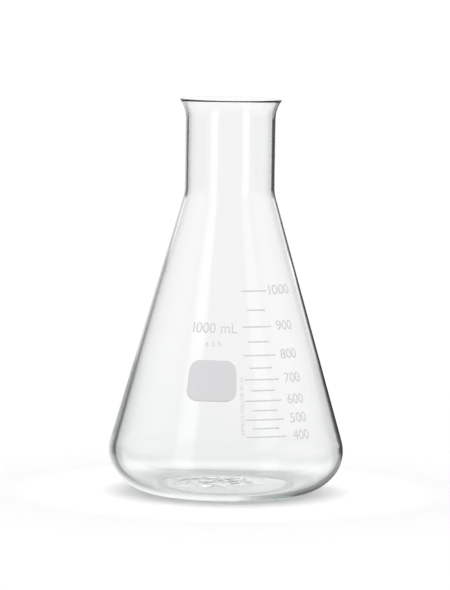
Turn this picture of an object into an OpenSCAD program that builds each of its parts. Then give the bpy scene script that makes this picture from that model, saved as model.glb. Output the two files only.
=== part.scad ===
// Conical flask, 1000 mL, wide neck: one blown glass vessel with a scale of white enamel fired onto it.
// Millimetres, +Z up, origin on the axis at the plane it rests on. Azimuths are degrees from -Y towards +X.

/* [Body] */
// Height from the resting plane to the top of the rim
flask_h = 220; // [210:1:230]
// Largest outside diameter, at the heel
body_d = 131; // [127:0.5:135]
// Slope of the cone's side from upright, in degrees
cone_slope = 16; // [15:0.5:17]
// Glass thickness of the cone and the neck
wall = 1.8; // [1.5:0.1:2.1]

/* [Heel and base] */
// Radius of the heel's lower curve, which runs into the resting ring
heel_low_r = 28; // [26:0.5:30]
// Radius of the heel's upper curve, which runs into the cone
heel_high_r = 21; // [19:0.5:23]
// Where one heel curve hands over to the other, in degrees below level
heel_split = 40; // [30:1:50]
// Radius of the curve between the wall and the floor inside
heel_inner_r = 22.5; // [21:0.5:25]
// Glass thickness under the edge of the floor
base_t = 3; // [2.8:0.1:4.5]
// How far the floor rises towards its middle
floor_crown = 1.2; // [1:0.1:2.5]
// Height of the push-up under the base
push_up = 1.6; // [1:0.1:1.8]
// Width of the flat ring that the flask rests on
rest_ring_w = 5; // [3:0.5:8]

/* [Neck and rim] */
// Outside diameter of the neck
neck_d = 50; // [48:0.5:52]
// Radius of the curve between the cone and the neck
shoulder_r = 25; // [20:1:30]
// Outside diameter of the flared rim
rim_d = 56.4; // [55:0.2:58]
// Radius of the flare outside
flare_r = 16; // [14:0.5:18]
// Radius of the flare inside
flare_inner_r = 18; // [17:0.5:19]
// Thickness of the rounded, fire-polished lip
lip_t = 2; // [1.8:0.1:2.2]

/* [Scale] */
// Volume at the top line, in millilitres
capacity = 1000; // [1000]
// Height of the top line above the resting plane
full_line_z = 116.3; // [110:0.1:120]
// Volume at the lowest line, in millilitres
lowest_mark = 400; // [400, 500, 600]
// Azimuths where the numbered lines begin and end
major_azimuths = [10.4, 32]; // [5:0.1:40]
// Azimuths where the lines between them begin and end
minor_azimuths = [14, 28.5]; // [5:0.1:40]
// Height of a line's band of enamel
line_w = 0.7; // [0.4:0.1:1.2]
// Azimuth where the numbers begin
numeral_azimuth = 36.2; // [34:0.1:40]
// Size of one digit of the scale: width and height
numeral_size = [3.3, 5.2]; // [2:0.1:8]

/* [Marks] */
// Azimuth of the middle of the patch and the marks above it
marks_azimuth = -9; // [-15:0.5:-5]
// Width and height of the patch for writing on
patch_size = [27, 22]; // [15:0.5:30]
// Corner radius of the patch
patch_corner_r = 6; // [1:0.5:10]
// Height of the patch's middle above the resting plane
patch_z = 68; // [60:1:75]
// Height of the middle of the capacity mark
capacity_z = 96.4; // [92:0.1:105]
// Size of one character of the capacity mark
capacity_size = [2.9, 5.5]; // [2:0.1:8]
// Height of the middle of the tolerance mark
tolerance_z = 87.8; // [84:0.1:90]
// Size of one character of the tolerance mark
tolerance_size = [1.6, 2.6]; // [1:0.1:5]
// Azimuth of the caption that runs up beside the lines
caption_azimuth = 8.6; // [6:0.1:9]
// Height of the caption's middle
caption_z = 54.8; // [50:0.1:60]
// Size of one character of the caption
caption_size = [1.15, 2]; // [0.8:0.05:3]
// Thickness of the enamel
enamel_t = 0.15; // [0.1:0.05:0.3]

/* [Hidden] */
$fn = 180;
GLASS = "lightcyan";
ENAMEL = "gainsboro";
MARKS = [for (ml = [capacity:-50:lowest_mark]) ml];
NUMBERED = [for (ml = [capacity:-100:lowest_mark]) ml];

function polar(r, a) = r * [cos(a), sin(a)];

// Outside of the glass, as [radius, height]: heel curves, cone, shoulder, neck and flare, all tangent.
neck_r = neck_d / 2;
heel_high_c = [body_d / 2 - heel_high_r, heel_low_r - (heel_low_r - heel_high_r) * sin(heel_split)];
heel_join = heel_high_c + polar(heel_high_r, -heel_split);
heel_low_c = heel_join - polar(heel_low_r, -heel_split);
cone_foot = heel_high_c + polar(heel_high_r, cone_slope);
cone_top_r = neck_r + shoulder_r * (1 - cos(cone_slope));
cone_top = [cone_top_r, cone_foot.y + (cone_foot.x - cone_top_r) / tan(cone_slope)];
shoulder_c = cone_top + polar(shoulder_r, cone_slope);
lip_r = lip_t / 2;
lip_c = [rim_d / 2 - lip_r, flask_h - lip_r];

// Centre of the flare curve that leaves a wall of radius wall_r upright and reaches the lip at reach from it.
function flare_centre(wall_r, r, reach) =
    let (x = wall_r + r) [x, lip_c.y - sqrt(reach * reach - (x - lip_c.x) * (x - lip_c.x))];

flare_c = flare_centre(neck_r, flare_r, flare_r + lip_r);
flare_end = flare_c + (lip_c - flare_c) * flare_r / norm(lip_c - flare_c);

// Inside of the glass: a crowned floor, one heel curve, then the cone and neck a wall's thickness in.
bore_r = neck_r - wall;
inner_shoulder_r = shoulder_r + wall;
inner_cone_top = shoulder_c - polar(inner_shoulder_r, cone_slope);
inner_heel_z = base_t + heel_inner_r;
inner_foot_z = inner_heel_z + heel_inner_r * sin(cone_slope);
inner_foot = [inner_cone_top.x + (inner_cone_top.y - inner_foot_z) * tan(cone_slope), inner_foot_z];
floor_r = inner_foot.x - heel_inner_r * cos(cone_slope);
mouth_c = flare_centre(bore_r, flare_inner_r, flare_inner_r - lip_r);
mouth_end = mouth_c + (lip_c - mouth_c) * flare_inner_r / norm(lip_c - mouth_c);

// Radius of the shallow dome that rises by rise at the middle of a disc of radius edge_r.
function dome_r(edge_r, rise) = (edge_r * edge_r + rise * rise) / (2 * rise);

function cone_r(z) = cone_foot.x - (z - cone_foot.y) * tan(cone_slope);
function inner_cone_r(z) = inner_foot.x - (z - inner_foot.y) * tan(cone_slope);

// Height of the liquid at a volume, from the volume of the hollow cone between it and the top line.
function line_z(ml) =
    let (
        missing = (capacity - ml) * 1000,
        r = pow(pow(inner_cone_r(full_line_z), 3) + 3 * tan(cone_slope) * missing / PI, 1 / 3)
    )
    inner_foot.y + (inner_foot.x - r) / tan(cone_slope);

// Strokes of each character on a grid 4 wide and 6 high.
function strokes(c) =
    c == "0" ? [[[1, 0], [3, 0], [4, 1.4], [4, 4.6], [3, 6], [1, 6], [0, 4.6], [0, 1.4], [1, 0]]] :
    c == "1" ? [[[0.8, 4.8], [2.2, 6], [2.2, 0]]] :
    c == "4" ? [[[3, 0], [3, 6], [0, 1.6], [4, 1.6]]] :
    c == "5" ? [[[3.8, 6], [0.4, 6], [0.2, 3.2], [1, 3.7], [3, 3.7], [4, 2.7], [4, 1.1], [3, 0], [1, 0], [0, 1]]] :
    c == "6" ? [[[3.8, 5.2], [3, 6], [1, 6], [0, 4.6], [0, 1.2], [1, 0], [3, 0], [4, 1.2], [4, 2.4], [3, 3.5], [0, 3]]] :
    c == "7" ? [[[0, 6], [4, 6], [1.6, 0]]] :
    c == "8" ? [[[1, 3.2], [0, 2.2], [0, 1], [1, 0], [3, 0], [4, 1], [4, 2.2], [3, 3.2], [1, 3.2],
                 [0.3, 4], [0.3, 5.2], [1, 6], [3, 6], [3.7, 5.2], [3.7, 4], [3, 3.2]]] :
    c == "9" ? [[[0.2, 0.8], [1, 0], [3, 0], [4, 1.4], [4, 4.8], [3, 6], [1, 6], [0, 4.8], [0, 3.6], [1, 2.5], [4, 3]]] :
    c == "A" ? [[[0, 0], [2, 6], [4, 0]], [[0.7, 2], [3.3, 2]]] :
    c == "E" ? [[[4, 0], [0, 0], [0, 6], [4, 6]], [[0, 3], [3.2, 3]]] :
    c == "I" ? [[[2, 0], [2, 6]]] :
    c == "L" ? [[[0.4, 6], [0.4, 0], [4, 0]]] :
    c == "M" ? [[[0, 0], [0, 6], [2, 2], [4, 6], [4, 0]]] :
    c == "N" ? [[[0, 0], [0, 6], [4, 0], [4, 6]]] :
    c == "O" ? strokes("0") :
    c == "P" ? [[[0, 0], [0, 6], [3, 6], [4, 5.2], [4, 3.8], [3, 3], [0, 3]]] :
    c == "R" ? [[[0, 0], [0, 6], [3, 6], [4, 5.2], [4, 3.8], [3, 3], [0, 3]], [[2, 3], [4, 0]]] :
    c == "U" ? [[[0, 6], [0, 1.2], [1, 0], [3, 0], [4, 1.2], [4, 6]]] :
    c == "V" ? [[[0, 6], [2, 0], [4, 6]]] :
    c == "X" ? [[[0, 0], [4, 6]], [[0, 6], [4, 0]]] :
    c == "m" ? [[[0, 0], [0, 4.4]], [[0, 4], [2, 4], [2, 0]], [[2, 4], [4, 4], [4, 0]]] :
    c == "±" ? [[[2, 1.8], [2, 5.6]], [[0, 3.7], [4, 3.7]], [[0, 0.4], [4, 0.4]]] :
    c == "%" ? [[[0, 0], [4, 6]], [[0, 4.6], [0.8, 5.4]], [[3.2, 0.6], [4, 1.4]]] :
    [];

// Sector of a disc about centre, from angle a0 to a1, less than 120 degrees apart.
module sector(centre, r, a0, a1) {
    reach = 3 * r;
    translate(centre)
        intersection() {
            circle(r);
            polygon([[0, 0], polar(reach, a0), polar(reach, (a0 + a1) / 2), polar(reach, a1)]);
        }
}

module dome(edge_r, z, rise) {
    r = dome_r(edge_r, rise);
    translate([0, z + rise - r]) circle(r);
}

module outer_profile() {
    difference() {
        polygon([
            [0, 0], [heel_low_c.x, 0], heel_join, cone_foot, cone_top, shoulder_c,
            [neck_r, shoulder_c.y], [neck_r, flare_c.y], flare_c, flare_end, lip_c, [0, lip_c.y]
        ]);
        translate(shoulder_c) circle(shoulder_r);
        translate(flare_c) circle(flare_r);
        dome(heel_low_c.x - rest_ring_w, 0, push_up);
    }
    sector(heel_low_c, heel_low_r, -90, -heel_split);
    sector(heel_high_c, heel_high_r, -heel_split, cone_slope);
}

module cavity_profile() {
    difference() {
        polygon([
            [0, base_t], [floor_r, base_t], inner_foot, inner_cone_top, shoulder_c,
            [bore_r, shoulder_c.y], [bore_r, mouth_c.y], mouth_c, mouth_end, lip_c,
            [lip_c.x, flask_h], [0, flask_h]
        ]);
        translate(shoulder_c) circle(inner_shoulder_r);
        translate(mouth_c) circle(flare_inner_r);
        dome(floor_r, base_t, floor_crown);
    }
    sector([floor_r, inner_heel_z], heel_inner_r, -90, cone_slope);
}

module flask_glass() {
    color(GLASS, 0.35)
        rotate_extrude() {
            difference() {
                outer_profile();
                cavity_profile();
            }
            translate(lip_c) circle(lip_r);
        }
}

// Band of enamel on the cone between two heights.
module enamel_band(z0, z1, a0, a1) {
    rotate([0, 0, a0 - 90])
        rotate_extrude(angle = a1 - a0)
            polygon([
                [cone_r(z0), z0], [cone_r(z0) + enamel_t, z0],
                [cone_r(z1) + enamel_t, z1], [cone_r(z1), z1]
            ]);
}

// Lays a flat drawing, centred on the origin, onto the cone at an azimuth and a height.
module printed(azimuth, z, reach_z) {
    color(ENAMEL)
        intersection() {
            enamel_band(z - reach_z, z + reach_z, azimuth - 40, azimuth + 40);
            rotate([0, 0, azimuth])
                translate([0, 0, z])
                    rotate([90, 0, 0])
                        linear_extrude(body_d)
                            children();
        }
}

// One straight stroke with square ends that reach half its width past each point.
module stroke(from, to, w) {
    run = to - from;
    translate(from)
        rotate(atan2(run.y, run.x))
            translate([-w / 2, -w / 2])
                square([norm(run) + w, w]);
}

// A word drawn in strokes, centred on the origin, with size as each character's width and height.
module word(characters, size, pitch, w) {
    cell = [(size.x - w) / 4, (size.y - w) / 6];
    start = -pitch * (len(characters) - 1) / 2 - (size.x - w) / 2;
    for (i = [0:len(characters) - 1], path = strokes(characters[i]), k = [1:len(path) - 1]) {
        corner = [start + i * pitch, -(size.y - w) / 2];
        stroke(corner + [path[k - 1].x * cell.x, path[k - 1].y * cell.y],
               corner + [path[k].x * cell.x, path[k].y * cell.y], w);
    }
}

module rounded_rectangle(size, r) {
    square([size.x - 2 * r, size.y], center = true);
    square([size.x, size.y - 2 * r], center = true);
    for (x = [-1, 1], y = [-1, 1])
        translate([x * (size.x / 2 - r), y * (size.y / 2 - r)]) circle(r);
}

module marking_patch() {
    printed(marks_azimuth, patch_z, patch_size.y)
        rounded_rectangle(patch_size, patch_corner_r);
}

module capacity_mark() {
    printed(marks_azimuth, capacity_z, capacity_size.y)
        word(str(capacity, " mL"), capacity_size, pitch = 1.22 * capacity_size.x, w = 0.6);
}

module tolerance_mark() {
    printed(marks_azimuth, tolerance_z, tolerance_size.y)
        word("± 5 %", tolerance_size, pitch = 1.3 * tolerance_size.x, w = 0.35);
}

module scale_caption() {
    caption = "APPROX VOLUME IN mL";
    pitch = 1.45 * caption_size.x;
    printed(caption_azimuth, caption_z, len(caption) * pitch)
        rotate(90)
            word(caption, caption_size, pitch, w = 0.28);
}

// A line of the scale: numbered every 100 mL, shorter in between.
module graduation(ml) {
    azimuths = ml % 100 == 0 ? major_azimuths : minor_azimuths;
    color(ENAMEL)
        enamel_band(line_z(ml) - line_w / 2, line_z(ml) + line_w / 2, azimuths[0], azimuths[1]);
}

// The number beside a line. Longer numbers begin a little nearer to their line.
module numeral(ml) {
    digits = str(ml);
    pitch = 1.23 * numeral_size.x;
    start = numeral_azimuth - (len(digits) - 3) * 2.6;
    half_w = ((len(digits) - 1) * pitch + numeral_size.x) / 2;
    printed(start + half_w / cone_r(line_z(ml)) * 180 / PI, line_z(ml) + 0.4, numeral_size.y)
        word(digits, numeral_size, pitch, w = 0.6);
}

flask_glass();
marking_patch();
capacity_mark();
tolerance_mark();
scale_caption();
for (ml = MARKS)
    graduation(ml);
for (ml = NUMBERED)
    numeral(ml);
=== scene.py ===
"""A 1000 mL conical flask: one blown vessel of borosilicate glass with a fired enamel scale.

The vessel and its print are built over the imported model's frame, in metres, +Z up, standing on z = 0.
The scale faces -Y, a little towards +X. Azimuths are degrees from -Y towards +X.
"""

import logging
import math
from dataclasses import dataclass
from enum import Enum

import bmesh
import bpy
from mathutils import Matrix, Vector, noise


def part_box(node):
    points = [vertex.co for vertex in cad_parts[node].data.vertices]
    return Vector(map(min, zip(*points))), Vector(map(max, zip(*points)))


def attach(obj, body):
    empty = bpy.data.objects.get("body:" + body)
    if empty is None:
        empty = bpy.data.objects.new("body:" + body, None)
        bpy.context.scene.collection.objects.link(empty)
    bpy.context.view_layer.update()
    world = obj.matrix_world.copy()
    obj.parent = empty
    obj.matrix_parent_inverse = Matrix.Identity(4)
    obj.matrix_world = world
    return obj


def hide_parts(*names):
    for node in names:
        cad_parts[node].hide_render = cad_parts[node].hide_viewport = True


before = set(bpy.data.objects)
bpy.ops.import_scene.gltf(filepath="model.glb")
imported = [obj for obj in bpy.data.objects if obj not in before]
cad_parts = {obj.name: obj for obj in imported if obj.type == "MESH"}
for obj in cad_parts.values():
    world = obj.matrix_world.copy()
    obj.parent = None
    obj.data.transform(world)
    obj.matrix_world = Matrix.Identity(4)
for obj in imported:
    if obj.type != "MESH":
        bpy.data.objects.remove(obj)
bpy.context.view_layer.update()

LOG = logging.getLogger("conical_flask")
ROOT = "root"
MM = 0.001


class Slot(Enum):
    """The record's material slots."""

    GLASS = "borosilicate_glass"
    ENAMEL = "white_enamel"


class Reading(Enum):
    """Which way a word runs on the glass, in degrees from level."""

    ALONG = 0.0
    UP = 90.0


# ---------------------------------------------------------------- helpers


def linear(hex_colour: str) -> tuple[float, float, float, float]:
    """Turns an sRGB hex colour into linear RGBA.

    Args:
        hex_colour: six hex digits, such as "f4f6f5".

    Returns:
        Linear red, green, blue and an alpha of 1.
    """
    channels = [int(hex_colour[i : i + 2], 16) / 255 for i in (0, 2, 4)]
    out = [c / 12.92 if c <= 0.04045 else ((c + 0.055) / 1.055) ** 2.4 for c in channels]
    return out[0], out[1], out[2], 1.0


def add_node(
    tree: bpy.types.NodeTree,
    kind: str,
    settings: dict | None = None,
    links: dict | None = None,
) -> bpy.types.Node:
    """Adds a shader node, sets it and links its inputs.

    Args:
        tree: the node tree.
        kind: the node's Blender type name.
        settings: values by property name, or by input name or index.
        links: output sockets by input name or index.

    Returns:
        The new node.
    """
    node = tree.nodes.new(kind)
    for key, value in (settings or {}).items():
        if isinstance(key, str) and hasattr(node, key):
            setattr(node, key, value)
        else:
            node.inputs[key].default_value = value
    for key, socket in (links or {}).items():
        tree.links.new(socket, node.inputs[key])
    return node


def polar(radius: float, degrees: float) -> Vector:
    """A point in the outline plane, as (radius from the axis, height)."""
    return Vector((math.cos(math.radians(degrees)), math.sin(math.radians(degrees)))) * radius


def add_piece(name: str, bm: bmesh.types.BMesh, material: bpy.types.Material) -> bpy.types.Object:
    """Makes a smooth-shaded object at the origin from a bmesh and frees the bmesh.

    Args:
        name: the piece's name.
        bm: the finished mesh, in place.
        material: what it is made of.

    Returns:
        The new object.
    """
    mesh = bpy.data.meshes.new(name)
    bm.to_mesh(mesh)
    bm.free()
    mesh.shade_smooth()
    mesh.materials.append(material)
    piece = bpy.data.objects.new(name, mesh)
    bpy.context.scene.collection.objects.link(piece)
    return piece


# ---------------------------------------------------------------- finishes


@dataclass(frozen=True)
class BorosilicateGlass:
    """Blown borosilicate 3.3 glass, fire-polished: clear, with a grey-green tint where it is thick."""

    ior: float = 1.473
    tint: str = "accdbb"
    absorption_per_metre: float = 14.0

    def build(self) -> bpy.types.Material:
        """Builds the material.

        Returns:
            A clear dielectric whose depth of glass gives the tint at the edges and in the base.
        """
        material = bpy.data.materials.new("borosilicate glass, blown and fire-polished")
        material.use_nodes = True
        tree = material.node_tree
        shader = tree.nodes["Principled BSDF"]
        shader.inputs["Base Color"].default_value = (1.0, 1.0, 1.0, 1.0)
        shader.inputs["Roughness"].default_value = 0.0
        shader.inputs["IOR"].default_value = self.ior
        shader.inputs["Transmission Weight"].default_value = 1.0
        absorb = add_node(
            tree,
            "ShaderNodeVolumeAbsorption",
            {"Color": linear(self.tint), "Density": self.absorption_per_metre},
        )
        tree.links.new(absorb.outputs["Volume"], tree.nodes["Material Output"].inputs["Volume"])
        return material


@dataclass(frozen=True)
class FiredEnamel:
    """White glass enamel, screen-printed and fired on: matt, slightly porous, with a grain of 0.2 mm.

    The grain is drawn four times as coarse as it is, so that it shows.
    """

    colour: str = "d0ced0"
    thin_colour: str = "c5c4c6"
    ior: float = 1.52
    roughness: float = 0.45
    grain: float = 0.2 * MM
    coarsening: float = 4.0

    def build(self) -> bpy.types.Material:
        """Builds the material.

        Returns:
            A pale, matt ceramic coat with a little mottling from the screen's mesh.
        """
        material = bpy.data.materials.new("white glass enamel, screen-printed and fired")
        material.use_nodes = True
        tree = material.node_tree
        shader = tree.nodes["Principled BSDF"]
        place = add_node(tree, "ShaderNodeTexCoord")
        mottle = add_node(
            tree,
            "ShaderNodeTexNoise",
            {"Scale": 1 / (self.grain * self.coarsening), "Detail": 3.0},
            {"Vector": place.outputs["Object"]},
        )
        mix = add_node(
            tree,
            "ShaderNodeMix",
            {"data_type": "RGBA", "A": linear(self.colour), "B": linear(self.thin_colour)},
            {"Factor": mottle.outputs["Fac"]},
        )
        tree.links.new(mix.outputs["Result"], shader.inputs["Base Color"])
        shader.inputs["Roughness"].default_value = self.roughness
        shader.inputs["IOR"].default_value = self.ior
        return material


# ---------------------------------------------------------------- the vessel


class Pen:
    """Draws a vessel's half outline in the XZ plane, each stretch by an operator on its last point."""

    def __init__(self, bm: bmesh.types.BMesh, start: Vector) -> None:
        """Starts the outline.

        Args:
            bm: the mesh to draw in.
            start: the first point, as (radius, height).
        """
        self.bm = bm
        self.tip = bm.verts.new((start.x, 0.0, start.y))

    def line(self, to: Vector, pieces: int = 1) -> None:
        """Draws a straight stretch.

        Args:
            to: its end, as (radius, height).
            pieces: how many edges it is made of.
        """
        step = (Vector((to.x, 0.0, to.y)) - self.tip.co) / pieces
        for _ in range(pieces):
            self.tip = bmesh.ops.extrude_vert_indiv(self.bm, verts=[self.tip])["verts"][0]
            bmesh.ops.translate(self.bm, verts=[self.tip], vec=step)

    def arc(self, centre: Vector, degrees: float, pieces: int) -> None:
        """Draws a round stretch.

        Args:
            centre: the arc's centre, as (radius, height).
            degrees: how far it turns, positive from +X towards +Z.
            pieces: how many edges it is made of.
        """
        made = bmesh.ops.spin(
            self.bm,
            geom=[self.tip],
            cent=(centre.x, 0.0, centre.y),
            axis=(0.0, -1.0, 0.0),
            angle=math.radians(degrees),
            steps=pieces,
        )
        self.tip = next(g for g in made["geom_last"] if isinstance(g, bmesh.types.BMVert))


@dataclass
class GlassVessel:
    """The blown vessel: push-up, heel, cone, shoulder, neck, flare and lip, inside and outside.

    The cavity stands off_centre at the base, and comes back to the middle at even_above.
    """

    body_radius: float
    height: float
    cone_slope: float = 16.0
    wall: float = 1.8 * MM
    heel_low: float = 28 * MM
    heel_high: float = 21 * MM
    heel_split: float = 40.0
    base: float = 2.8 * MM
    crown: float = 0.7 * MM
    push_up: float = 0.6 * MM
    ring_width: float = 5 * MM
    neck_radius: float = 25 * MM
    shoulder: float = 25 * MM
    rim_radius: float = 28.2 * MM
    flare: float = 16 * MM
    flare_inner: float = 18 * MM
    lip: float = 1.5 * MM
    segments: int = 256
    weld: float = 0.01 * MM
    waist_z: float = 72 * MM
    off_centre: float = 0.8 * MM
    off_centre_fade: float = 0.6
    even_above: float = 130 * MM
    ripple: float = 0.8 * MM
    ripple_at: tuple[float, float] = (-8 * MM, 4 * MM)
    ripple_reach: tuple[float, float] = (30 * MM, 26 * MM)
    ripple_lengths: tuple[float, float] = (6 * MM, 2.5 * MM)
    floor_margin: float = 0.5 * MM

    def __post_init__(self) -> None:
        """Works out the tangent points that the outline turns at."""
        drop = (self.heel_low - self.heel_high) * math.sin(math.radians(self.heel_split))
        self.heel_high_c = Vector((self.body_radius - self.heel_high, self.heel_low - drop))
        join = self.heel_high_c + polar(self.heel_high, -self.heel_split)
        self.heel_low_c = join - polar(self.heel_low, -self.heel_split)
        self.cone_foot = self.heel_high_c + polar(self.heel_high, self.cone_slope)
        top_r = self.neck_radius + self.shoulder * (1 - math.cos(math.radians(self.cone_slope)))
        run = (self.cone_foot.x - top_r) / self.taper
        self.cone_top = Vector((top_r, self.cone_foot.y + run))
        self.shoulder_c = self.cone_top + polar(self.shoulder, self.cone_slope)
        self.lip_c = Vector((self.rim_radius - self.lip / 2, self.height - self.lip / 2))

    @property
    def taper(self) -> float:
        """How much the cone's radius shrinks per unit of height."""
        return math.tan(math.radians(self.cone_slope))

    @property
    def ring_edge(self) -> float:
        """How far the resting ring's inner edge lies from the axis."""
        return self.heel_low_c.x - self.ring_width

    def cone_radius(self, z: float) -> float:
        """The outside radius of the cone at a height."""
        return self.cone_foot.x - (z - self.cone_foot.y) * self.taper

    def flare_centre(self, wall_radius: float, radius: float, reach: float) -> Vector:
        """Centre of the curve that leaves an upright wall and meets the lip.

        Args:
            wall_radius: the wall's distance from the axis.
            radius: the curve's radius.
            reach: the distance from the curve's centre to the middle of the lip.

        Returns:
            The centre, as (radius, height).
        """
        x = wall_radius + radius
        return Vector((x, self.lip_c.y - math.sqrt(reach**2 - (x - self.lip_c.x) ** 2)))

    def lift_to_lip(self, centre: Vector) -> float:
        """How many degrees a flaring curve turns from level to meet the lip."""
        return math.degrees(math.atan2(self.lip_c.y - centre.y, centre.x - self.lip_c.x))

    def ogee_arc(self, edge: float, rise: float) -> tuple[float, float]:
        """Sizes the two equal arcs of a low swelling.

        Args:
            edge: the distance of the swelling's edge from the axis.
            rise: how high its middle stands over its edge.

        Returns:
            The arcs' radius, and how many degrees each turns.
        """
        radius = (edge**2 + rise**2) / (4 * rise)
        return radius, math.degrees(math.asin(edge / 2 / radius))

    def draw_push_up(self, pen: Pen) -> None:
        """Draws the push-up from its middle out to the resting ring's inner edge."""
        radius, lean = self.ogee_arc(self.ring_edge, self.push_up)
        pen.arc(Vector((0.0, self.push_up - radius)), -lean, pieces=16)
        pen.arc(Vector((self.ring_edge, radius)), lean, pieces=16)

    def draw_outside(self, pen: Pen) -> None:
        """Draws the outside, from the resting ring's inner edge up to the lip."""
        pen.line(Vector((self.ring_edge, 0.0)))
        pen.line(Vector((self.heel_low_c.x, 0.0)), pieces=2)
        pen.arc(self.heel_low_c, 90 - self.heel_split, pieces=16)
        pen.arc(self.heel_high_c, self.heel_split + self.cone_slope, pieces=18)
        pen.line(self.cone_top, pieces=30)
        pen.arc(self.shoulder_c, -self.cone_slope, pieces=8)
        half_lip = self.lip / 2
        bore = self.neck_radius - self.wall
        flare_c = self.flare_centre(self.neck_radius, self.flare, self.flare + half_lip)
        mouth_c = self.flare_centre(bore, self.flare_inner, self.flare_inner - half_lip)
        lift, inner_lift = self.lift_to_lip(flare_c), self.lift_to_lip(mouth_c)
        pen.line(Vector((self.neck_radius, flare_c.y)), pieces=8)
        pen.arc(flare_c, -lift, pieces=10)
        pen.arc(self.lip_c, 180 - inner_lift + lift, pieces=14)
        pen.arc(mouth_c, inner_lift, pieces=10)

    def draw_inside(self, pen: Pen) -> None:
        """Draws the inside, from the neck down to the floor's middle, thicker below the waist."""
        bore = self.neck_radius - self.wall
        top = self.shoulder_c - polar(self.shoulder + self.wall, self.cone_slope)
        waist = Vector((top.x + (top.y - self.waist_z) * self.taper, self.waist_z))
        heel_top = self.heel_high_c + polar(self.heel_high - self.base, self.cone_slope)
        pen.line(Vector((bore, self.shoulder_c.y)), pieces=8)
        pen.arc(self.shoulder_c, self.cone_slope, pieces=8)
        pen.line(waist, pieces=16)
        pen.line(heel_top, pieces=24)
        pen.arc(self.heel_high_c, -self.cone_slope - self.heel_split, pieces=24)
        pen.arc(self.heel_low_c, self.heel_split - 90, pieces=20)
        radius, lean = self.ogee_arc(self.heel_low_c.x, self.crown)
        foot = pen.tip.co.z
        pen.arc(Vector((self.heel_low_c.x, foot + radius)), -lean, pieces=24)
        pen.arc(Vector((0.0, foot + self.crown - radius)), lean, pieces=24)

    def make_uneven(self, bm: bmesh.types.BMesh, inside: bmesh.types.BMLayerItem) -> None:
        """Gives the inner face what blowing leaves: one side a little thicker, and a rippled floor.

        Args:
            bm: the spun vessel.
            inside: the layer that is 1 on the inner face.
        """
        floor_top = self.base + self.crown + self.floor_margin
        (middle_x, middle_y), (reach_x, reach_y) = self.ripple_at, self.ripple_reach
        long, short = self.ripple_lengths
        for vert in bm.verts:
            if vert[inside] < 0.5:
                continue
            x, y, z = vert.co
            low = max(0.0, 1 - z / self.even_above)
            vert.co.x += self.off_centre * low**self.off_centre_fade
            if z < floor_top:
                away = math.hypot((x - middle_x) / reach_x, (y - middle_y) / reach_y)
                waves = noise.noise(Vector((x, y, 0.0)) / long)
                waves += 0.5 * noise.noise(Vector((x, y, 1.0)) / short)
                vert.co.z += self.ripple * waves * max(0.0, 1 - away**2)

    def build(self) -> bmesh.types.BMesh:
        """Spins the outline into the vessel.

        Returns:
            The closed mesh, with its normals outwards.
        """
        bm = bmesh.new()
        inside = bm.verts.layers.float.new("inside")
        pen = Pen(bm, Vector((0.0, self.push_up)))
        self.draw_push_up(pen)
        self.draw_outside(pen)
        outer = set(bm.verts)
        self.draw_inside(pen)
        for vert in bm.verts:
            vert[inside] = 0.0 if vert in outer else 1.0
        bmesh.ops.spin(
            bm,
            geom=bm.verts[:] + bm.edges[:],
            cent=(0.0, 0.0, 0.0),
            axis=(0.0, 0.0, 1.0),
            angle=math.tau,
            steps=self.segments,
            use_merge=True,
        )
        bmesh.ops.remove_doubles(bm, verts=bm.verts[:], dist=self.weld)
        bmesh.ops.recalc_face_normals(bm, faces=bm.faces[:])
        self.make_uneven(bm, inside)
        LOG.info("vessel: %.1f cm3 of glass, %d faces", bm.calc_volume() * 1e6, len(bm.faces))
        return bm


# ---------------------------------------------------------------- the print


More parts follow.
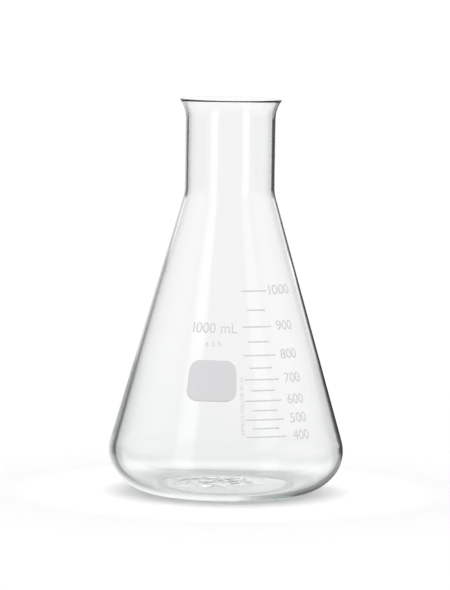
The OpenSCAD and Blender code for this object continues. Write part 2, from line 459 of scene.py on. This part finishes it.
@dataclass
class EnamelPrint:
    """The fired print: a scale of volumes, a patch for writing on, and the marks round them.

    Each mark is a flat sheet, cut into cells so that it can bend, laid on the cone and given its coat.
    Sizes of words are their whole width and the height of their capitals.
    """

    vessel: GlassVessel
    material: bpy.types.Material
    coat: float = 0.06 * MM
    gap: float = 0.02 * MM
    model_coat: float = 0.15 * MM
    cell: float = 1.0 * MM
    cut_shift: float = 0.01 * MM
    weld: float = 0.005 * MM
    capacity: int = 1000
    lowest: int = 400
    line_every: int = 50
    number_every: int = 100
    patch: tuple[float, float] = (27 * MM, 22 * MM)
    patch_corner: float = 6 * MM
    digit_height: float = 5.2 * MM
    digit_pitch: float = 4.06 * MM
    digit_gap: float = 0.19
    kerning: int = -8
    capacity_word: tuple[float, float] = (24.6 * MM, 5.5 * MM)
    tolerance_word: tuple[float, float] = (9.4 * MM, 2.6 * MM)
    caption_word: tuple[float, float] = (31.4 * MM, 2.0 * MM)

    def finish(self, node: str, bm: bmesh.types.BMesh) -> None:
        """Gives a printed sheet its coat and sets it in place of its node, which it hides.

        Args:
            node: the model's node that it stands for.
            bm: the sheet, one face thick, just clear of the glass.
        """
        level = Vector((1.0, 1.0, 0.0))
        bmesh.ops.recalc_face_normals(bm, faces=bm.faces[:])
        if sum(face.normal.dot(face.calc_center_median() * level) for face in bm.faces) < 0:
            bmesh.ops.reverse_faces(bm, faces=bm.faces[:])
        raised = bmesh.ops.extrude_face_region(bm, geom=bm.faces[:])["geom"]
        for vert in (part for part in raised if isinstance(part, bmesh.types.BMVert)):
            vert.co += (vert.co * level).normalized() * self.coat
        bmesh.ops.recalc_face_normals(bm, faces=bm.faces[:])
        LOG.info("%s: %d faces", node, len(bm.faces))
        piece = add_piece(f"{node}_print", bm, self.material)
        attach(piece, ROOT)
        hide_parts(node)

    def wrap(self, bm: bmesh.types.BMesh, azimuth: float, z: float) -> None:
        """Lays a flat sheet on the cone.

        Args:
            bm: the sheet, in the XY plane round the origin, X along the glass and Y up it.
            azimuth: where its middle goes, in radians.
            z: the height of its middle.
        """
        for axis in (0, 1):
            reach = max(abs(v.co[axis]) for v in bm.verts)
            cut = Vector((0.0, 0.0, 0.0))
            normal = Vector((1 - axis, axis, 0.0))
            steps = int(reach / self.cell)
            for step in range(-steps, steps + 1):
                cut[axis] = step * self.cell + self.cut_shift
                geom = bm.verts[:] + bm.edges[:] + bm.faces[:]
                bmesh.ops.bisect_plane(bm, geom=geom, plane_co=cut, plane_no=normal)
        middle = self.vessel.cone_radius(z)
        for vert in bm.verts:
            turn = azimuth + vert.co.x / middle
            height = z + vert.co.y
            radius = self.vessel.cone_radius(height) + self.gap
            vert.co = Vector((math.sin(turn) * radius, -math.cos(turn) * radius, height))

    def place_of(self, node: str) -> tuple[float, float]:
        """The azimuth in radians and the height of the middle of a node."""
        low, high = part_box(node)
        middle = (low + high) / 2
        return math.atan2(middle.x, -middle.y), middle.z

    def word(
        self,
        node: str,
        text: str,
        size: tuple[float, float],
        reading: Reading = Reading.ALONG,
    ) -> None:
        """Prints a word in place of its node.

        Args:
            node: the model's node that it stands for.
            text: what it says.
            size: its whole width and the height of its capitals.
            reading: which way it runs.
        """
        curve = bpy.data.curves.new(node, "FONT")
        curve.body = text
        for letter, form in zip(text, curve.body_format):
            form.kerning = self.kerning if letter == "1" else 0
        letters = bpy.data.objects.new(node, curve)
        bpy.context.scene.collection.objects.link(letters)
        mesh = bpy.data.meshes.new_from_object(letters)
        bm = bmesh.new()
        bm.from_mesh(mesh)
        bpy.data.objects.remove(letters)
        bpy.data.curves.remove(curve)
        bpy.data.meshes.remove(mesh)
        xs = [v.co.x for v in bm.verts]
        ys = [v.co.y for v in bm.verts]
        low, high = Vector((min(xs), min(ys), 0.0)), Vector((max(xs), max(ys), 0.0))
        fit = (size[0] / (high.x - low.x), size[1] / (high.y - low.y), 1.0)
        turn = Matrix.Rotation(math.radians(reading.value), 3, "Z")
        bmesh.ops.translate(bm, verts=bm.verts[:], vec=-(low + high) / 2)
        bmesh.ops.scale(bm, verts=bm.verts[:], vec=fit)
        bmesh.ops.remove_doubles(bm, verts=bm.verts[:], dist=self.weld)
        bmesh.ops.beautify_fill(bm, faces=bm.faces[:], edges=bm.edges[:])
        bmesh.ops.rotate(bm, verts=bm.verts[:], matrix=turn)
        self.wrap(bm, *self.place_of(node))
        self.finish(node, bm)

    def line(self, node: str) -> None:
        """Prints a line of the scale in place of its node: a narrow band round the cone."""
        low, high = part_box(node)
        start = math.asin(low.x / self.vessel.cone_radius(high.z))
        end = math.asin(high.x / (self.vessel.cone_radius(low.z) + self.model_coat))
        bm = bmesh.new()
        foot = self.vessel.cone_radius(low.z) + self.gap
        tip = bm.verts.new((math.sin(start) * foot, -math.cos(start) * foot, low.z))
        made = bmesh.ops.extrude_vert_indiv(bm, verts=[tip])
        head = self.vessel.cone_radius(high.z) + self.gap
        made["verts"][0].co = Vector((math.sin(start) * head, -math.cos(start) * head, high.z))
        bmesh.ops.spin(
            bm,
            geom=bm.verts[:] + bm.edges[:],
            cent=(0.0, 0.0, 0.0),
            axis=(0.0, 0.0, 1.0),
            angle=end - start,
            steps=24,
        )
        self.finish(node, bm)

    def marking_patch(self, node: str) -> None:
        """Prints the patch for writing on in place of its node: a rectangle with round corners."""
        bm = bmesh.new()
        bmesh.ops.create_grid(bm, x_segments=1, y_segments=1, size=0.5)
        bmesh.ops.scale(bm, verts=bm.verts[:], vec=(*self.patch, 1.0))
        bmesh.ops.bevel(
            bm,
            geom=bm.verts[:],
            affect="VERTICES",
            offset=self.patch_corner,
            segments=10,
            profile=0.5,
            material=-1,
        )
        self.wrap(bm, *self.place_of(node))
        self.finish(node, bm)

    def build(self) -> None:
        """Prints everything."""
        self.marking_patch("marking_patch")
        self.word("capacity_mark", "1000 mL", self.capacity_word)
        self.word("tolerance_mark", "\u00b1 5 %", self.tolerance_word)
        self.word("scale_caption", "APPROX VOLUME IN mL", self.caption_word, Reading.UP)
        for volume in range(self.capacity, self.lowest - 1, -self.line_every):
            self.line(f"graduation_{volume}")
            if volume % self.number_every == 0:
                digits = str(volume)
                width = self.digit_pitch * (len(digits) - self.digit_gap)
                self.word(f"numeral_{volume}", digits, (width, self.digit_height))


# ---------------------------------------------------------------- the set


@dataclass(frozen=True)
class SoftBox:
    """A soft light as reflections see it. Its edges are directions in degrees, and all of them fade."""

    start: float
    end: float
    start_fade: float
    end_fade: float
    bottom: float
    top: float
    top_fade: float
    power: float


@dataclass
class Studio:
    """A white tent, soft boxes for the glass to reflect, a paper floor and the camera.

    Light that has been reflected comes from the dim room and its soft boxes, and passes through the
    floor. All other light comes from the tent, which lights the paper and the enamel as paper_light.
    The paper is also painted paler round the flask, a painted pool of light that keeps its shadow
    narrow.
    """

    distance: float = 2.4
    eye_height: float = 334.9 * MM
    tilt_down: float = 5.3445
    turn_left: float = 0.0412
    roll: float = 0.829
    lens_mm: float = 263.5932
    tent: float = 1.0287
    paper_light: float = 1.3
    room: float = 0.06
    # The neck's walls stand upright and reflect level light. The cone's and the heel's lean, and
    # reflect light from above and below.
    boxes: tuple[SoftBox, ...] = (
        SoftBox(-20, 80, 1, 20, -90, 60, 14, 0.25),
        SoftBox(285, 380, 20, 1, -90, 60, 14, 0.25),
        SoftBox(85, 143, 10, 6, -90, 50, 14, 0.4),
        SoftBox(139, 156.5, 4, 4, -1, 50, 4, 0.42),
        SoftBox(139, 156.5, 4, 4, -90, -6.5, 4, 0.42),
        SoftBox(217, 275, 8, 10, -90, 50, 14, 0.38),
        SoftBox(60, 150, 60, 6, 5, 50, 8, 0.62),
        SoftBox(60, 150, 60, 6, -90, -14, 10, 0.5),
        SoftBox(204, 300, 8, 60, 4, 50, 6, 0.75),
        SoftBox(204, 300, 8, 60, -90, -14, 10, 0.6),
        SoftBox(140, 220, 10, 10, -90, -9.5, 5, 0.34),
        SoftBox(177, 199, 4, 28, -90, 30, 14, 1.0),
        SoftBox(145, 215, 8, 8, 3, 34, 3, 1.25),
        SoftBox(305, 326, 6, 4, -44, 45, 8, 1.1),
        SoftBox(33, 53, 6, 10, -40, 12, 10, 0.85),
        SoftBox(-20, 380, 1, 1, 44, 120, 10, 0.45),
        SoftBox(-20, 380, 1, 1, -120, -44, 10, 0.8),
    )
    table_radius: float = 0.6
    # Painted light: the paper is painted paler round the flask, fully within the first radius below and
    # fading to its own tone at the second, so that the flask's shadow stays narrow.
    near_paper: str = "fdfdfd"
    far_paper: str = "e6e6e6"
    near_radius: float = 0.075
    far_radius: float = 0.13

    def add_camera(self) -> None:
        """Adds the camera, with a long lens and the slight roll of its view."""
        data = bpy.data.cameras.new("camera")
        data.sensor_width = 36.0
        data.lens = self.lens_mm
        data.clip_end = 100.0
        camera = bpy.data.objects.new("camera", data)
        turn = Matrix.Rotation(math.radians(self.turn_left), 4, "Z")
        tilt = Matrix.Rotation(math.radians(90 - self.tilt_down), 4, "X")
        roll = Matrix.Rotation(math.radians(self.roll), 4, "Z")
        place = Matrix.Translation((0.0, -self.distance, self.eye_height))
        camera.matrix_world = place @ turn @ tilt @ roll
        bpy.context.scene.collection.objects.link(camera)
        bpy.context.scene.camera = camera

    def add_world(self) -> None:
        """Adds the light: a white tent, and the dim room with soft boxes for reflections."""
        world = bpy.data.worlds.new("studio")
        bpy.context.scene.world = world
        world.use_nodes = True
        world.cycles.sampling_method = "NONE"
        tree = world.node_tree
        maths = "ShaderNodeMath"
        place = add_node(tree, "ShaderNodeTexCoord")
        axes = add_node(tree, "ShaderNodeSeparateXYZ", links={0: place.outputs["Generated"]})
        back = add_node(tree, maths, {"operation": "MULTIPLY", 1: -1.0}, {0: axes.outputs["X"]})
        sides = {0: back.outputs[0], 1: axes.outputs["Y"]}
        turn = add_node(tree, maths, {"operation": "ARCTAN2"}, sides)
        azimuth = add_node(tree, maths, {"operation": "ADD", 1: math.pi}, {0: turn.outputs[0]})
        rise = add_node(tree, maths, {"operation": "ARCSINE"}, {0: axes.outputs["Z"]})
        level = None
        for box in self.boxes:
            edges = (
                self.add_step(tree, azimuth.outputs[0], box.start, box.start_fade),
                self.add_step(tree, azimuth.outputs[0], box.end, -box.end_fade),
                self.add_step(tree, rise.outputs[0], box.bottom, box.top_fade),
                self.add_step(tree, rise.outputs[0], box.top, -box.top_fade),
            )
            mask = edges[0]
            for edge in edges[1:]:
                both = add_node(tree, maths, {"operation": "MULTIPLY"}, {0: mask, 1: edge})
                mask = both.outputs[0]
            powers = {"A": self.room, "B": box.power}
            mix = add_node(tree, "ShaderNodeMix", powers, {"Factor": mask})
            if level:
                tree.links.new(level, mix.inputs["A"])
            level = mix.outputs["Result"]
        path = add_node(tree, "ShaderNodeLightPath")
        kinds_of_ray = (
            ("Glossy Depth", "LESS_THAN", self.tent),
            ("Diffuse Depth", "GREATER_THAN", self.paper_light),
        )
        for depth, test, light in kinds_of_ray:
            chosen = add_node(tree, maths, {"operation": test, 1: 0.5}, {0: path.outputs[depth]})
            inputs = {"Factor": chosen.outputs[0], "A": level}
            mix = add_node(tree, "ShaderNodeMix", {"B": light}, inputs)
            level = mix.outputs["Result"]
        background = tree.nodes["Background"]
        background.inputs["Color"].default_value = (1.0, 1.0, 1.0, 1.0)
        tree.links.new(level, background.inputs["Strength"])

    def add_step(
        self,
        tree: bpy.types.NodeTree,
        value: bpy.types.NodeSocket,
        at: float,
        fade: float,
    ) -> bpy.types.NodeSocket:
        """Adds a soft step.

        Args:
            tree: the node tree.
            value: the socket that is tested, in radians.
            at: where the step's middle lies, in degrees.
            fade: the step's width in degrees; negative for a step down.

        Returns:
            The socket that goes from 0 to 1, or from 1 to 0 for a step down.
        """
        step = add_node(
            tree,
            "ShaderNodeMapRange",
            {
                "interpolation_type": "SMOOTHSTEP",
                "From Min": math.radians(at - abs(fade) / 2),
                "From Max": math.radians(at + abs(fade) / 2),
                "To Min": 0.0 if fade > 0 else 1.0,
                "To Max": 1.0 if fade > 0 else 0.0,
            },
            {"Value": value},
        )
        return step.outputs["Result"]

    def add_floor(self) -> None:
        """Adds the pale paper that the flask stands on, painted paler round the flask: a painted pool
        of light that keeps its shadow narrow. Reflected light passes through it.
        """
        bm = bmesh.new()
        bmesh.ops.create_circle(bm, cap_ends=True, segments=96, radius=self.table_radius)
        material = bpy.data.materials.new("white paper, painted paler round the flask")
        material.use_nodes = True
        tree = material.node_tree
        shader = tree.nodes["Principled BSDF"]
        path = add_node(tree, "ShaderNodeLightPath")
        mirrored = add_node(
            tree,
            "ShaderNodeMath",
            {"operation": "GREATER_THAN", 1: 0.5},
            {0: path.outputs["Glossy Depth"]},
        )
        # Painted light: the paper's colour is paler near the flask's foot, a painted pool of light that
        # lifts its shadow.
        place = add_node(tree, "ShaderNodeTexCoord")
        reach = add_node(
            tree,
            "ShaderNodeVectorMath",
            {"operation": "LENGTH"},
            {0: place.outputs["Object"]},
        )
        away = add_node(
            tree,
            "ShaderNodeMapRange",
            {
                "interpolation_type": "SMOOTHSTEP",
                "From Min": self.near_radius,
                "From Max": self.far_radius,
            },
            {"Value": reach.outputs["Value"]},
        )
        lit = add_node(
            tree,
            "ShaderNodeMix",
            {"data_type": "RGBA", "A": linear(self.near_paper), "B": linear(self.far_paper)},
            {"Factor": away.outputs["Result"]},
        )
        tree.links.new(lit.outputs["Result"], shader.inputs["Base Color"])
        clear = add_node(tree, "ShaderNodeBsdfTransparent")
        sheet = add_node(
            tree,
            "ShaderNodeMixShader",
            links={0: mirrored.outputs[0], 1: shader.outputs["BSDF"], 2: clear.outputs["BSDF"]},
        )
        tree.links.new(sheet.outputs["Shader"], tree.nodes["Material Output"].inputs["Surface"])
        shader.inputs["Roughness"].default_value = 1.0
        shader.inputs["Specular IOR Level"].default_value = 0.0
        floor = add_piece("floor", bm, material)

    def build(self) -> None:
        """Builds the set."""
        scene = bpy.context.scene
        scene.view_settings.view_transform = "Standard"
        scene.cycles.max_bounces = 64
        scene.cycles.glossy_bounces = 64
        scene.cycles.transmission_bounces = 64
        self.add_camera()
        self.add_world()
        self.add_floor()


def main() -> None:
    """Builds the flask piece by piece, then the set."""
    logging.basicConfig(level=logging.INFO, format="%(message)s")
    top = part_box("flask_glass")[1].z
    vessel = GlassVessel(body_radius=65.5 * MM, height=top)
    piece = add_piece("vessel", vessel.build(), BorosilicateGlass().build())
    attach(piece, ROOT)
    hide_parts("flask_glass")
    EnamelPrint(vessel, FiredEnamel().build()).build()
    Studio().build()


if __name__ == "__main__":
    main()
